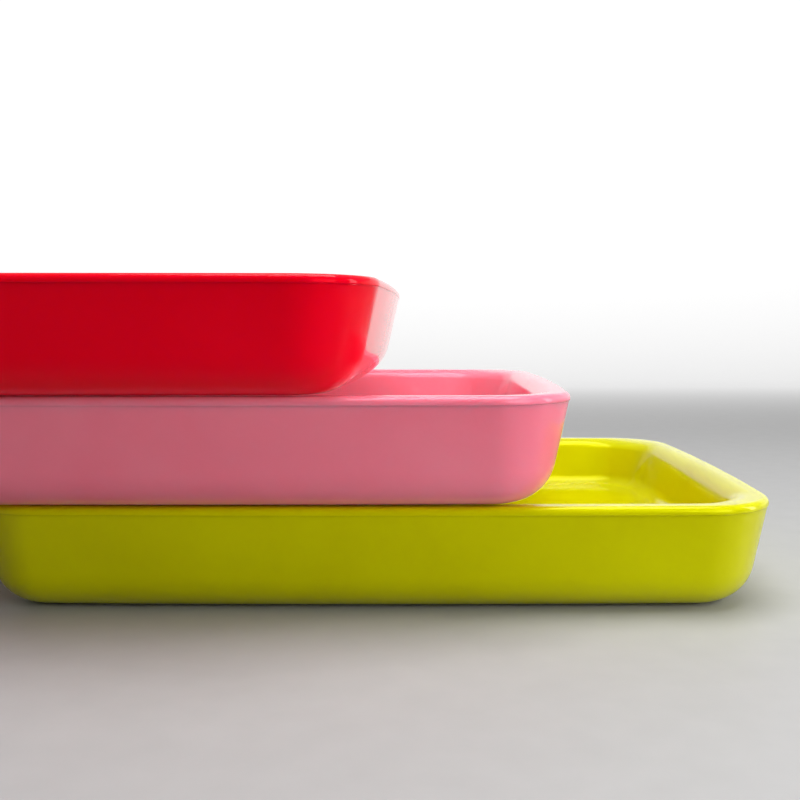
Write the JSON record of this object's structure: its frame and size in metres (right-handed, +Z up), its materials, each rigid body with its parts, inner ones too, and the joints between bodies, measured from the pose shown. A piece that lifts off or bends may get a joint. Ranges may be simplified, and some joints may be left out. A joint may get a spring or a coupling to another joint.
{
  "type": "developing tray",
  "caption": "Stack of shallow rectangular double-walled trays with broad rounded rims and raised floors, each holding a bath of liquid, the upper ones lifting off the one below.",
  "frame": {"origin": "centre of the lowest tray's flat underside", "axes": "+Z up, X along the trays' length, with the stack stepping towards -X and -Y as it rises; -Y is the front"},
  "size_m": [0.562, 0.311, 0.1506],
  "materials": {
    "lime_plastic": "polished injection moulding, solid colour",
    "pink_plastic": "polished injection moulding, solid colour",
    "red_plastic": "polished injection moulding, solid colour",
    "seal_rubber": "matt silicone",
    "screw_steel": "bright plated",
    "plug_rubber": "matt"
  },
  "bodies": {
    "lime_tray": {"lime_basin": "lime_plastic", "lime_shell": "lime_plastic", "lime_seal": "seal_rubber", "lime_screws": "screw_steel", "lime_plugs": "plug_rubber"},
    "pink_tray": {"pink_basin": "pink_plastic", "pink_shell": "pink_plastic", "pink_seal": "seal_rubber", "pink_screws": "screw_steel", "pink_plugs": "plug_rubber"},
    "red_tray": {"red_basin": "red_plastic", "red_shell": "red_plastic", "red_seal": "seal_rubber", "red_screws": "screw_steel", "red_plugs": "plug_rubber"}
  },
  "joints": [
    {"name": "pink_lift", "type": "slide", "parent": "lime_tray", "child": "pink_tray", "axis": [0, 0, 1], "range_m": [0, 0.12]},
    {"name": "red_lift", "type": "slide", "parent": "pink_tray", "child": "red_tray", "axis": [0, 0, 1], "range_m": [0, 0.12]}
  ]
}
